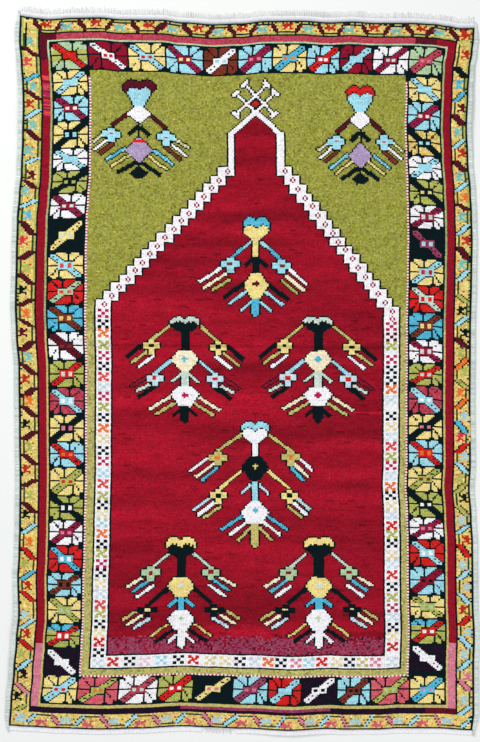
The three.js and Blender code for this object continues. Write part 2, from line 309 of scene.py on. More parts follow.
# The niche's outline runs down the middle of the white bands
LEFT_STAIRS = [(226 - 7.65 * n, 172 + 8.22 * n) for n in range(17)]
RIGHT_STAIRS = [(284.5 + 6.69 * n, 171.5 + 8.75 * n) for n in range(17)]
niche = shape(
    [(255, 111), (231, 134), (231, 168), *LEFT_STAIRS, (103.5, 320)]
    + [(391.5, 320), *RIGHT_STAIRS[::-1], (281, 168), (281, 134)]
)
above = np.where(col_of < HALF, row_of < KNEES["left"], row_of < KNEES["right"])
chart[niche & above] = INK["crimson"]
for x0, y0, x1, y1 in ((255, 112, 231, 134.5), (255.5, 112, 281, 134.5)):
    paint(bar(x0, y0, x1, y1, 4.6), "white")
paint(block(231.2, 151, 3, 18.5), "white")
paint(block(280.8, 151, 3, 18.5), "white")
for x, y in LEFT_STAIRS + RIGHT_STAIRS:
    paint(block(x, y, 7.4, 4.4), "white")


def stitch(row, col, pattern, dye):
    """Ties a small motif, given as rows of marks, from its top left knot."""
    for j, line in enumerate(pattern):
        for i, mark in enumerate(line):
            if mark == "X":
                chart[row + j, col + i] = INK[dye]


RING = (".X.", "X.X", "X.X", ".X.")
for x, y in LEFT_STAIRS + RIGHT_STAIRS:
    stitch(row_at(x, y) - 2, col_at(x, y) - 1, RING, "berry")

# The finial over the niche: a lattice of four crossings, hooked at its loose ends
CROSSINGS = {"top": (255.5, 96), "left": (246.3, 103.7), "right": (264.5, 103.7),
             "foot": (255.5, 112)}
ENDS = (
    ("top", 245, 84), ("top", 267, 84), ("left", 236, 93.5), ("left", 236, 114.5),
    ("right", 275, 92.5), ("right", 274, 114.5),
)
for one, other in (("top", "left"), ("left", "foot"), ("foot", "right"), ("right", "top")):
    paint(bar(*CROSSINGS[one], *CROSSINGS[other], 2.2), "white")
for one, x, y in ENDS:
    near = CROSSINGS[one]
    paint(bar(*near, x, y, 2.1), "white")
    dx, dy = np.array((x - near[0], y - near[1])) / math.hypot(x - near[0], y - near[1])
    paint(bar(x - 4.2 * dy, y + 4.2 * dx, x + 4.2 * dy, y - 4.2 * dx, 3.6), "white")
chart[gem(255.5, 104, 5.6, 5.4)] = INK["ink"]
chart[gem(255.5, 104, 4.2, 4)] = INK["brick"]

# The striped line inside the main border
LINE = np.where(np.arange(ROWS) % 2 == 0, INK["white"], INK["rose"])
for col in (LINE_LEFT, LINE_RIGHT):
    chart[FIRST_ROW:END_ROW, col] = LINE[FIRST_ROW:END_ROW]
    fill((FIRST_ROW, FIRST_ROW + 4), (col, col + 1), "ink")
chart[END_ROW - 1, LINE_LEFT : LINE_RIGHT + 1] = LINE[LINE_LEFT : LINE_RIGHT + 1]

# Crosses of the white border: place down or along it, and dye
LEFT_CROSSES = table("""
    313 cerise, 323.6 ink, 333 orange, 344.5 lime, 355 cerise, 365.5 ink, 376 coral, 387 frost,
    396 cerise, 407 lime, 418 ink, 428 orange, 439 straw, 451 ink, 461 cerise, 473 sky,
    484.5 coral, 495.5 lime, 504.5 ink, 514 straw, 523.5 haze, 533.5 orange, 543.5 ink, 553.5 lime,
    563.5 cerise, 573 ink, 584 straw, 593.5 frost, 604 coral, 614 lime, 623.5 ink, 633 straw,
    643 red, 653.5 ink, 663 frost
""")
RIGHT_CROSSES = table("""
    327 cerise, 337 maroon, 346 lime, 359 cerise, 370 ink, 380 ink, 390 orange, 400 frost,
    416.5 ink, 427 straw, 437 frost, 446 coral, 456 lime, 466 cerise, 475.5 frost, 486 orange,
    496 ink, 506 straw, 515.5 frost, 525.5 red, 535 lime, 544 ink, 555 straw, 564 frost, 575 red,
    587 ink, 597.5 lime, 608 cerise, 617.5 frost, 627.5 ink, 637 straw, 647.5 red, 661 frost
""")
BOTTOM_CROSSES = table("""
    113.5 red, 130 ink, 145.5 blossom, 161 sky, 179 ink, 194 red, 210 straw, 225 straw, 240.5 plum,
    254 frost, 268 orange, 282 ink, 295.6 pink, 309 sky, 322 red, 336.5 straw, 349 ink, 362.5 dun,
    376 pink
""")
CROSS = ("XX..XX", "XX..XX", "..XX..", "..XX..", "XX..XX", "XX..XX")
FULL_CROSS = ("XX..XX", "XXX.XX", "..XXX.", ".XXX..", "XX.XXX", "XX..XX")


def cross(row, col, dye):
    stitch(row, col, FULL_CROSS if dye in ("orange", "red", "coral", "lime") else CROSS, dye)


for y, dye in LEFT_CROSSES:
    cross(row_at(103, y) - 3, 43, dye)
for y, dye in RIGHT_CROSSES:
    cross(row_at(391, y) - 3, 201, dye)
for x, dye in BOTTOM_CROSSES:
    cross(424, col_at(x, 661) - 3, dye)
stitch(row_at(391.5, 319) - 2, col_at(391.5, 319) - 1, RING, "cerise")

# Cells of the main border: petals (or top, middle and bottom ones), ribbon, which way the ribbon
# leans, and the two dots on its middle
LEFT_CELLS = table(r"""
    yellow sky / sky, sky berry \ cream, yellow ink / sky, white sky \ sky, lime ink / lime,
    white berry \ mist, ink yellow / mist, yellow sky \ coral, red sage / coral, blue rust \ gold,
    white maroon \ rust, lime red / mist, rose sky \ white, yellow ink / pink, sky red \ orange,
    yellow lime / red, lime ink \ white, white berry / pink, red blue \ white, sky rust / ink,
    yellow lime \ sage, blue-lime-lime red / white, plum white \ white
""")
RIGHT_CELLS = table(r"""
    yellow sky \ sky, sky berry / cream, gold ink \ sky, white sky / sky, lime ink \ yellow,
    white berry / mist, ink mauve \ sky, yellow sky / red, red mist \ red, blue rust / yellow,
    white berry \ mist, lime red / mist, rose sky \ white, yellow ink / pink, sky red \ orange,
    yellow lime / rust, lime ink \ white, white berry / pink, red sky \ white, sky garnet / ink,
    yellow lime \ sage, blue-lime-lime red / white, plum white \ white
""")
TOP_CELLS = table(r"""
    sage-lime-sage red \ red, garnet white \ red, yellow sky \ red, sky berry \ yellow,
    rust white / sky, sky berry / pink, yellow blue / orange, sky red / white, garnet sky / sky,
    white berry / mist, sage rose / pink
""")
BOTTOM_CELLS = table("""
    yellow sky / red, salmon lime / orange, white rose / mist, lime red / white, ink yellow / pink,
    sky mauve / pink, red sky / sky, plum white / plum, sky rust / ink, salmon lime / sage,
    yellow blue / lilac
""")
LEFT_STARTS = (
    71, 96, 122, 148.5, 172, 194.5, 220, 252, 280, 305, 333, 361, 388.5, 415, 442, 468.5,
    496, 520.6, 546, 573, 598, 624, 649, 677,
)
RIGHT_STARTS = (
    77.6, 103.6, 131.5, 157, 180.6, 206, 230, 259, 287, 313, 341, 365, 387, 414.5, 440.6,
    467, 492, 517.6, 540, 567, 595, 620, 645.5, 674,
)
TOP_STARTS = (51.5, 90, 128, 167, 204, 239, 273, 307, 341, 373, 409, 446)
BOTTOM_STARTS = (44, 79, 119, 158, 194, 234, 270, 303, 338, 371, 411, 447)


OUTER_PART = 0.22  # the upper and lower petals end this share of the height from the middle
SPLIT_ABOVE, SPLIT_BELOW = 0.39, 0.67  # where the petals of either half part, from the left
RIBBON_HALF, RIBBON_LINE, ROUNDING = 2.2, 3.1, 2.9


def cell(cols, rows, petals, ribbon, leans, dots):
    """Eight petals on dark ground under a ribbon from corner to corner."""
    (c0, c1), (r0, r1) = cols, rows
    wide, tall = c1 - c0, r1 - r0
    i, j = np.meshgrid(np.arange(wide), np.arange(tall))
    if leans == "\\":
        i = wide - 1 - i
    x, y = i - (wide - 1) / 2, j - (tall - 1) / 2
    upper, middle, lower = petals.split("-") if "-" in petals else (petals,) * 3
    part = np.full(x.shape, INK[middle])
    part[y / tall < -OUTER_PART] = INK[upper]
    part[y / tall > OUTER_PART] = INK[lower]
    waist = (tall - 1) // 2
    split = np.where(j < waist, int(wide * SPLIT_ABOVE), int(wide * SPLIT_BELOW))
    from_split, from_waist = np.abs(i - split), np.abs(j - waist)
    bend = np.hypot(np.maximum(np.abs(x) - wide / 2 + 3.2, 0),
                    np.maximum(np.abs(y) - tall / 2 + 3.6, 0) * 0.85)
    at_end = np.abs(y) > tall / 2 - 1
    gap = (bend > ROUNDING) | (from_split == 0) | (from_waist == 0) | (from_split == 1) & at_end
    room = np.where(j < waist, split, wide - 1 - split)
    vein = np.abs(from_split - from_waist * room / (tall / 2)) < 0.56
    vein &= ((i < split) & (j < waist)) | ((i > split) & (j > waist))
    vein &= (from_waist > 1) & (rng.random(vein.shape) < 0.85)
    part[gap | vein] = INK["ink"]
    off = np.abs(x + y * wide / tall)
    part[off < RIBBON_LINE] = INK["ink"]
    part[(np.abs(x) < 4.1) & (np.abs(y) < 3.1)] = INK["ink"]
    within = (np.abs(x) < wide / 2 - 0.6) & (np.abs(y) < tall / 2 - 0.6)
    part[(off < RIBBON_HALF) & within] = INK[ribbon]
    part[(np.abs(x) < 3.6) & (np.abs(y) < 2.4)] = INK[ribbon]
    if ribbon != "ink":
        part[(off < 0.6) & (j % 2 == 0) & (np.abs(y) > 2.6) & within] = INK["ink"]
    part[(np.abs(np.abs(x) - 1.9) < 1) & (np.abs(y) < 1.2)] = INK[dots]
    chart[r0:r1, c0:c1] = part


# The main border's columns on either side, and its rows at either end
LEFT_COLS, RIGHT_COLS = (17, 35), (214, 232)
TOP_ROWS, BOTTOM_ROWS = (16, 34), (437, 455)
for cells, starts, x, cols in (
    (LEFT_CELLS, LEFT_STARTS, 68, LEFT_COLS), (RIGHT_CELLS, RIGHT_STARTS, 428, RIGHT_COLS),
):
    for one, y0, y1 in zip(cells, starts, starts[1:]):
        cell(cols, (row_at(x, y0), row_at(x, y1) - 1), *one)
for cells, starts, y, rows in (
    (TOP_CELLS, TOP_STARTS, 58, TOP_ROWS), (BOTTOM_CELLS, BOTTOM_STARTS, 688, BOTTOM_ROWS),
):
    for one, x0, x1 in zip(cells, starts, starts[1:]):
        first, end = max(LEFT_COLS[0], col_at(x0, y)), min(RIGHT_COLS[1], col_at(x1, y) - 1)
        cell((first, end), rows, *one)

# The gold guard: where each slanted bar of its zigzag starts and ends, and its dye if not maroon
LEFT_BARS = table("""
    47 54, 72 80 blue, 90 98, 109 117 sky, 130 139, 156 163 sky, 181 186, 199 207 sky, 222 234,
    250 259, 275 283, 298 306, 319 326, 341 351, 365 374, 387 397, 406 416, 430 439, 455 463,
    478 486, 502 511, 523 533 sky, 547 559 red, 571 579 blue, 591 600 red, 619 627 sky,
    639 649 red, 660 670 sky, 684 692 pink, 704 710 lime
""")
RIGHT_BARS = table("""
    67 77 ink, 92 101 blue, 114 125, 139 147 sky, 160 170, 182 190 sky, 204 210, 224 233 sky,
    246 258, 270 280 sky, 294 302 lime, 316 324 sky, 338 348, 359 368 orange, 379 387 lime,
    398 408 orange, 421 432 blue, 443 452 red, 463 472 sky, 484 492 lime, 505 514 lime,
    525 533 sky, 545 556 red, 570 578 sky, 593 603 sky, 616 624 red, 637 647 sky, 660 669 sky,
    680 690 pink, 706 714 sky
""")
TOP_BARS = table("""
    33 40, 55 61, 78 84, 105 111, 131 138, 155 165, 181 190, 205 213, 227 235, 250 256, 272 277,
    296 301, 317 322, 337 344, 361 367, 384 389, 405 413, 426 436, 450 458
""")
BOTTOM_BARS = [(*ends, ("sky", "pink")[n % 2]) for n, ends in enumerate(table("""
    27 34, 50 58, 74 82, 99 108, 125 134, 151 159, 175 184, 202 211, 225 236, 253 261, 277 283,
    298 305, 320 327, 341 347, 365 371, 385 392, 410 417, 433 440, 462 471
"""))]
# Its flowers: place, and dye; those marked with a star have red dots round them
LEFT_FLOWERS = table("""
    41 teal, 62 coral, 86 teal*, 104 brick, 125 teal, 150 teal*, 175 maroon, 192 teal*, 216 blue,
    241 coral, 269 lime*, 291 ink, 313 orange, 333 maroon, 357 teal*, 379 brick, 401 orange,
    425 ink, 447 lime*, 470 brick, 495 lime, 515 ink, 541 orange, 564 lime*, 586 brick, 615 haze*,
    634 brick, 655 lime, 675 plum, 697 ink, 718 haze
""")
RIGHT_FLOWERS = table("""
    33 brick, 55 brick, 85 blue, 108 maroon, 132 teal, 153 brick, 176 teal*, 197 orange, 217 teal*,
    240 brick, 265 teal*, 286 yellow*, 311 ink, 333 ink, 352 lime*, 372 lime, 392 orange,
    416 haze*, 437 coral, 457 haze*, 479 lime*, 498 ink, 520 haze*, 540 brick, 565 haze*,
    587 haze*, 610 brick, 632 haze*, 654 haze*, 676 pink, 700 haze
""")
TOP_FLOWERS = [(x, "brick") for x in (46, 96, 148, 199, 242, 287, 330, 375, 422, 467)]
TOP_FLOWERS += [(x, "teal*") for x in (67, 119, 172, 219, 262, 308, 349, 396, 440)]
BOTTOM_FLOWERS = [(x, "salmon") for x in (41, 87, 141, 190, 242, 287, 332, 378, 422)]
BOTTOM_FLOWERS += [(x, "haze*") for x in (21, 65, 115, 166, 217, 266, 310, 355, 399, 447)]
FLOWERS = (
    ("X.XX.", "XXXX.", ".XXXX", "..XX.", ".XXX.", "XX.XX"),
    (".XX.X", ".XXXX", "XXXX.", ".XX..", ".XXXX", "XX..X"),
)
GUARD_DEPTH = 10


def tie(side, along, deep, dye):
    """One knot of a border, along it from the top or left and in from its outer edge."""
    row, col = {
        "left": (along, deep), "right": (along, COLS - 1 - deep),
        "top": (deep, along), "bottom": (ROWS - 1 - deep, along),
    }[side]
    if 0 <= row < ROWS and 0 <= col < COLS:
        chart[row, col] = INK[dye]


def guard(side, place, bars, flowers, deep, outer, inner, line="moss"):
    """The zigzag line of one side's guard, its slanted bars and the flowers between them."""
    runs, last = [], GUARD_DEPTH + 1
    for start, end, *own_dye in bars:
        a0, a1 = place(start), place(end)
        dye = own_dye[0] if own_dye else "maroon"
        runs.append((last, a0, deep))
        other = outer + inner - deep
        for a in range(a0, a1 + 1):
            d = int(round(deep + (other - deep) * (a - a0) / (a1 - a0)))
            for off, one in ((-2, "ink"), (2, "ink"), (-1, dye), (0, dye), (1, dye)):
                if 0 < d + off < inner + 2:
                    tie(side, a, d + off, one)
        deep, last = other, a1 + 1
    finish = (ROWS if side in ("left", "right") else COLS) - GUARD_DEPTH
    runs.append((last, finish, deep))
    for first, end, deep in runs:
        for a in range(first, end):
            tie(side, a, deep, line)
    for n, (middle, dye) in enumerate(flowers):
        at = place(middle)
        run = next((d for a0, a1, d in runs if a0 <= at <= a1), outer)
        low = 3 if run == outer else 1
        for j, marks in enumerate(FLOWERS[n % 2]):
            for i, mark in enumerate(marks):
                if mark == "X":
                    tie(side, at - 3 + j, low + i, dye.strip("*"))
        if dye.endswith("*"):
            for a, d in ((-4, 1), (-3, 4), (3, 0), (4, 3)):
                tie(side, at + a, low + d, "brick")


guard("left", lambda y: row_at(30, y), LEFT_BARS, LEFT_FLOWERS, 2, 2, 8)
guard("right", lambda y: row_at(466, y), RIGHT_BARS, RIGHT_FLOWERS, 7, 2, 7)
guard("top", lambda x: col_at(x, 26), TOP_BARS, TOP_FLOWERS, 2, 2, 7, "ink")
guard("bottom", lambda x: col_at(x, 720), BOTTOM_BARS, BOTTOM_FLOWERS, 2, 2, 8)
chart[:, 0] = chart[:, -1] = chart[0] = chart[-1] = INK["ink"]
ragged = rng.random(ROWS)
chart[ragged < 0.12, 1] = INK["ink"]
chart[ragged > 0.88, -2] = INK["ink"]
chart[1, 2:-2][rng.random(COLS - 4) < 0.2] = INK["ink"]
worn_edge = (PY > 416) & (PY < 442) & (col_of == COLS - 1)
chart[worn_edge & (rng.random(chart.shape) < 0.75)] = INK["gold"]
chart[(PY > 22) & (PY < 46) & (col_of == 3)] = INK["ink"]

# Changes of dye along the red stripe
stripe = np.zeros(chart.shape, bool)
stripe[10 : ROWS - 10, 11 : COLS - 10] = True
stripe[14 : ROWS - 14, 15 : COLS - 14] = False
stripe &= chart == INK["madder"]
top_side, bottom_side = stripe & (row_of < 14), stripe & (row_of >= ROWS - 14)
chart[top_side & (PX > 56) & (PX < 415)] = INK["rose"]
chart[top_side & ((PX <= 56) | ((PX >= 415) & (PX < 437)))] = INK["maroon"]
chart[stripe & (col_of < 15) & (PY < 60)] = INK["maroon"]
lots = rng.integers(0, 4, ROWS)[:, None] + 0 * col_of
pale = stripe & (col_of < 15) & (PY > 76) & (PY < 118)
for n, dye in enumerate(("coral", "rose", "madder", "cerise")):
    chart[pale & (lots == n)] = INK[dye]
chart[bottom_side] = INK["plum"]
chart[bottom_side & (row_of < ROWS - 12) & (PX > 180) & (PX < 330)] = INK["mauve"]
chart[bottom_side & (PX > 425)] = INK["maroon"]
chart[stripe & ~bottom_side & (PY > 643)] = INK["pink"]
inner_line = chart == INK["leaf"]
chart[inner_line & (PY < 60)] = INK["sage"]
chart[inner_line & (PY > 330)] = INK["dun"]
green_edge = (PY < 330) & (chart == INK["gold"])
green_edge &= (col_of == 1) | (col_of == 9) | (col_of == COLS - 2) | (row_of == 1) | (row_of == 8)
chart[green_edge] = INK["lime"]

# Flower sprays. Each part has its dye and its sizes, in squares from the spray's top middle:
# cap: half width, height. heart: half width, top, foot, half neck. stem: half width, top, foot.
# tip: the same, with a pointed foot. bar, on both sides: near end, far end, thickness.
# flower, on both sides: middle, half width, eye, half the eye's height. gem: top, widest place,
# foot, half width there, at the top and at the foot, and its eye if it has one.
UPPER = table("""
    cap blue 13 12, heart yellow 12.8 8.5 24 3, stem yellow 2.8 22 40, bar sky 5 25 15 33 2.6,
    bar blue 13 31 26 43 2.8, bar white 34 51.5 54 66.5 2.8, bar cream 30 57.5 50.5 72.5 2.8,
    bar lime 25.5 63 43 75 2.6, flower sky 26 48 8.8 rust 1.2, stem ink 4.3 40 57,
    bar ink 3 42 11.5 49.5 4.4, bar ink 10 65 33 82.5 4.8, bar sky 9 74 27 87.5 2.8,
    gem yellow 56 68 81.5 12 4 4.5 maroon, tip blue 3.6 81 100, bar sky 4 84.5 15 94 2.6
""")
SPANDREL = table("""
    heart sky 11.5 7.5 27 4, bar maroon 11 34 27 47 2.8, gem white 26.5 34 43 11 4 0.8,
    bar lime+white 36 56.5 49 65 2.6, bar white 32 61.5 47 73 2.4,
    bar rust 25.5 64.5 40.5 76.5 2.8, flower sky 27.3 55.5 9.2 red 0.8, bar ink 1 46.5 11 55.5 5.2,
    stem ink 1 42 58, bar blue+sky 14 69 34 82.5 2.6, bar yellow+lime 9 75 28 88 2.2,
    bar ink 1 81.5 22 94 4.6, gem lilac 58 70 81.5 13.3 1.5 1.5, stem ink 1.2 82 90,
    gem ink 87 93 98.5 9.5 2 4.5
""")
SECOND = table("""
    cap mist 14.5 9, heart ink 12.5 5.5 16 4.6, stem ink 4.6 14 36, bar dun 15.5 9.5 34.5 25 2.6,
    bar ink 41 28 59 42.5 4.8, bar dun 38 36 54.5 48 2.6, bar white 30.5 39 46.5 51.5 2.6,
    flower yellow 33.5 30 8 ink 1.9, bar sky 14 44 31 58.5 2.8,
    gem cream 34.5 43 55 13.5 7 3.5 blue, bar garnet 38 61 54 71.5 2.4,
    bar mist 35.5 68.5 49.5 76 2.6, bar ink 26 68 47 82 4.6, flower frost 30.3 62 8 red 1.9,
    stem mist 3.2 54.5 71, bar mist 4 57 13.5 65.5 2.4, bar cream 14 80.5 35.5 93.5 2.8,
    bar dun 9.5 86.5 29.5 98.5 2.8, gem white 70.5 77.5 91 14 7 5 cerise, tip ink 4.6 90 107.5,
    bar ink 4 92.5 12.5 100 4
""")
LOWER = table("""
    cap sky 13.5 10, heart white 12.8 7 21 3.2, stem white 3 18 36, bar dun 13.5 13 37 29.5 2.8,
    bar white 45 36 61.5 49.5 2.6, bar cream 40 42 56.5 55.5 2.8, bar blue 36.5 45.5 51 59.5 2.8,
    flower dun 36.8 36 9 orange 1.9, bar yellow 13 49 34.5 67 2.8,
    gem ink 34.5 45.5 59 14 6 5 gold, bar frost 43.5 76.5 58.5 88.5 2.8,
    bar white 39.5 81 54.5 93.5 2.8, bar dun 33 84.5 49.5 96.5 2.6,
    flower yellow 35.7 74 8 ink 1.9, stem sky 3.2 60 80, bar frost 4 62.5 13.5 72.5 2.4,
    bar blue 12.5 94.5 33.5 108.5 2.8, bar white 7 99.5 25.5 113.5 2.8,
    gem white 79.5 91 102 13.5 4 7 blue, tip dun 3.3 102 126, bar dun 4 105.5 17 119 2.6
""")
FOURTH = table("""
    cap yellow 14.5 11.5, heart ink 13.5 7.5 21 4.8, stem ink 4.8 18 42,
    bar mist 12.5 16.5 30 31.5 2.6, bar cream 39 40.5 54 49.5 2.8,
    bar blue 32.5 43.5 48.5 54.5 2.8, bar white 27.5 48 44.5 60 2.8,
    flower sage 30 35.5 8.5 garnet 1.9, bar ink 13 52 31.5 66.5 4.8,
    gem yellow 40.5 49 60 13 7 5 frost, bar dun 45 74 59 83 2.4, bar cream 39 78 54 87.5 2.8,
    bar frost 31.5 81 47.5 91 2.8, flower ink 33.5 72.5 9.5 straw 1, stem blue 3.3 60 74,
    bar blue 4 62 13 69.5 3.2, bar gold 13 86.5 30.5 99.5 2.2, bar ink 6 91.5 26 105 4.4,
    gem white 73 82 93.5 13 6 6 sage, tip white 3.8 92 111.5, bar white 4 97 13 105.5 2.8
""")


def rounded(x, y, half, points):
    """A shape that is the same on both sides of its middle line."""
    right = [(x + half * dx, y + dy) for dx, dy in points]
    return shape(right + [(2 * x - px, py) for px, py in right[::-1]])


def spray(x, y, skew, parts, reach=(1, 1), wide=1):
    """Draws one spray. The skew is how much further down its right side lies, and the reach
    stretches what lies further out than 30 squares on its left and its right."""
    def at(side, dx, dy):
        if dx > 30:
            dx = 30 + reach[side > 0] * (dx - 30)
        return x + side * wide * dx, y + dy + skew * side * dx

    for kind, dye, *n in parts:
        if kind == "cap":
            half, tall = n
            cap = INK[dye]
            paint(rounded(x, y, half * wide, (
                (0, 3.4), (0.2, 0.8), (0.5, 0), (0.8, 1.6), (1, 0.45 * tall), (0.96, tall),
                (0.6, 0.9 * tall),
            )), dye)
        elif kind == "heart":
            half, top, foot, neck = n
            paint(rounded(x, y, half * wide, (
                (0, top + 3.2), (0.25, top + 0.8), (0.55, top), (0.85, top + 1.6),
                (1, top + 4.5), (0.94, top + 7), (neck / half, foot),
            )), dye, "ink", cap)
        elif kind in ("stem", "tip"):
            half, top, foot = n
            body = block(x, y + (top + foot) / 2, half, (foot - top) / 2)
            if kind == "tip":
                cx, cy = spot(x, y + foot)
                body &= np.abs(NX - cx) < (cy - NY) * 0.9 + 0.8
            paint(body, dye)
        elif kind == "gem":
            top, middle, foot, half, head, tail, *eye = n
            paint(rounded(x, y, wide, (
                (head, top), (head + 0.52 * (half - head), (top + middle) / 2),
                (half, middle - 0.6), (half, middle + 0.6),
                (tail + 0.52 * (half - tail), (foot + middle) / 2),
                (tail, foot),
            )), dye)
            if eye:
                centre = y + (top + foot) / 2 - 2
                paint(block(x, centre, 3.1, 1) | block(x, centre, 1, 2.7), eye[0], None)
        elif kind == "bar":
            x0, y0, x1, y1, thick = n
            for side in (-1, 1):
                paint(bar(*at(side, x0, y0), *at(side, x1, y1), thick), dye)
        else:
            dx, dy, half, eye, tall = n
            for side in (-1, 1):
                cx, cy = at(side, dx, dy)
                arms = block(cx, cy, half * wide, 2.9) | block(cx, cy + 1, half * 0.38, 7)
                paint(arms, dye)
                paint(block(cx, cy, 2.3, tall), eye, None)


spray(256, 217, 0.03, UPPER, (1.12, 0.88))
spray(139, 80, 0.07, (("cap", "maroon", 16, 12), *SPANDREL), (0.88, 1.08))
paint(block(138.5, 141, 6, 1), "red", None)
spray(360.5, 86, 0.01, (("cap", "red", 15.3, 11), ("heart", "sky", 14, 7.5, 26, 4.8),
                        *SPANDREL[1:]), (1, 1), 0.88)
for middle in (185, 318):
    spray(middle, 316.5, 0.02, SECOND)
spray(255, 421.5, 0, LOWER, (1.12, 0.88))
for middle in (181, 319):
    spray(middle, 537, -0.01, FOURTH)

# The dull band along the foot of the field, stray knots in the olive ground, and painted light
# that makes the olive paler further down
foot = (chart == INK["crimson"]) & (PY > 636) & (PY < 656) & (PX > 108) & (PX < 384)
dull = rng.random(chart.shape) < np.clip((PY - 634) / 9, 0, 0.75)
chart[foot & dull] = INK["mauve"]
chart[foot & (rng.random(chart.shape) < 0.05)] = INK["plum"]
gold = chart == INK["gold"]
gold_lots = rng.random(chart.shape)
chart[gold & (gold_lots < 0.1)] = INK["tan"]
chart[gold & (gold_lots > 0.84)] = INK["yellow"]
chart[gold & (gold_lots > 0.1) & (gold_lots < 0.16)] = INK["lime"]
olive = chart == INK["olive"]
chart[olive & (rng.random(chart.shape) < 0.004)] = INK["tan"]
# Painted light: the olive ground turns paler and yellower further down the rug
chart[olive & (rng.random(chart.shape) < (PY - 300) / 40)] = INK["khaki"]


# Colour and height of each knot

def streaks(cells, depth, seed):
    """Soft bands across the rug, as between one lot of yarn and the next."""
    own = np.random.default_rng(seed)
    coarse = own.normal(0, 1, (ROWS, cells))
    coarse = 0.5 * coarse + 0.3 * np.roll(coarse, 1, 0) + 0.3 * np.roll(coarse, 2, 0)
    at = np.linspace(0, cells - 1, COLS)
    left = np.floor(at).astype(int).clip(0, cells - 2)
    share = smooth(at - left)
    return 1 + depth * (coarse[:, left] * (1 - share) + coarse[:, left + 1] * share)


def daylight(colour):
    """A colour as seen, as the share of light it gives back."""
    c = np.array(colour) / 255
    return np.where(c <= 0.04045, c / 12.92, ((c + 0.055) / 1.055) ** 2.4)


dye_light = np.array([daylight(DYES[name]) for name in NAMES])
grain = rng.normal(0, 1, chart.shape)
patches = streaks(5, 1, 4)
for _ in range(12):
    patches = (patches + np.roll(patches, 1, 0) + np.roll(patches, -1, 0)) / 3
shade = streaks(9, 0.03, 3) * streaks(60, 0.04, 5) * (1 + 0.05 * grain)
# Short dashes of a darker or a paler lot
dashes = np.repeat(rng.normal(0, 1, (ROWS, COLS // 4)), 4, axis=1)
dashes = np.take_along_axis(dashes, (col_of + rng.integers(0, 4, (ROWS, 1))) % COLS, 1)
shade *= 1 - 0.14 * (dashes > 1.6) + 0.08 * (dashes < -1.7)
# The red ground changes more down the rug, and falls off a little to the right
red_ground = chart == INK["crimson"]
lot_change = (0.97 + 0.5 * (patches - 1)).clip(0.7, 1.3)
shade[red_ground] *= (streaks(40, 0.1, 6) * lot_change)[red_ground]
shade[red_ground] *= (1.05 - 0.0004 * (PX - 120))[red_ground]
dark_dash = red_ground & (dashes > 2.1)
shade[dark_dash] *= 0.66
shade[olive] *= (1 + 0.07 * grain)[olive]
# Painted shade along the fold's crease, a worn place in the field, and dark knots among the olive
fold_shade = np.exp(-(((PY - 346.5 - 0.01 * (PX - 250)) / 1.8) ** 2))
# Painted shade: the knots along the fold's crease are darkened
shade *= 1 - 0.32 * fold_shade * ((PX > 100) & (PX < 390))
worn = np.exp(-(((PY - 413) / 1.2) ** 2)) * ((PX > 343) & (PX < 382))
shade[red_ground] *= (1 + 0.9 * worn)[red_ground]
speckle = olive & (rng.random(chart.shape) < 0.1)
shade[speckle] *= 0.66
shade = shade.clip(0.3, 1.8)
tint = dye_light[chart] * shade[..., None]
fuzz = rng.normal(0, 1, (*chart.shape, 1)) * (0.35 * tint.min(-1, keepdims=True)).clip(0, 0.02)
tint = (tint * (1 + rng.normal(0, 0.03, tint.shape)) + fuzz).clip(0.001, 0.95)

dark = np.isin(chart, (INK["ink"], INK["plum"]))
knot_high = rng.normal(0, 0.16, chart.shape)
knot_high[dark] -= 0.9
knot_high[chart == INK["white"]] += 0.15

# Where the knots stand: shared corners, and a middle for each
corner_v, corner_u = np.mgrid[0 : ROWS + 1, 0 : COLS + 1].astype(float)
inside = (corner_v > 0) & (corner_v < ROWS) & (corner_u > 0) & (corner_u < COLS)
corner_u += inside * rng.normal(0, 0.07, inside.shape)
corner_v += inside * rng.normal(0, 0.07, inside.shape)
padded = np.pad(knot_high, 1, mode="edge")
around = (padded[1:, 1:] + padded[:-1, 1:] + padded[1:, :-1] + padded[:-1, :-1]) / 4


def metres(x, y, z):
    return np.stack((x + BOX_SHIFT[0], y + BOX_SHIFT[1], z), -1) / 1000


def place(col, row, high):
    """Points of the cloth: fractional knots across and down, and the height over its foot."""
    x, y = plan(col / COLS, row / ROWS)
    return metres(x, y, lift(x, y) + high).reshape(-1, 3)


corner_top = pile_top(corner_u / COLS, corner_v / ROWS)
corner_high = corner_top + around - 0.4 + rng.normal(0, 0.1, around.shape)
middle_u = col_of + 0.5 + rng.normal(0, 0.09, chart.shape)
middle_v = row_of + 0.5 + rng.normal(0, 0.09, chart.shape)
middle_high = pile_top(middle_u / COLS, middle_v / ROWS) + knot_high + 0.3
corner_points = place(corner_u, corner_v, corner_high)
middle_points = place(middle_u, middle_v, middle_high)


# Meshes

def add_object(name, data):
    new = bpy.data.objects.new(name, data)
    bpy.context.scene.collection.objects.link(new)
    return new


def flat_uv(points, faces):
    """The piece's own places seen from above, stretched to fill the square."""
    low, high = points[:, :2].min(0), points[:, :2].max(0)
    return ((points[:, :2] - low) / (high - low) * 0.996 + 0.002)[faces]


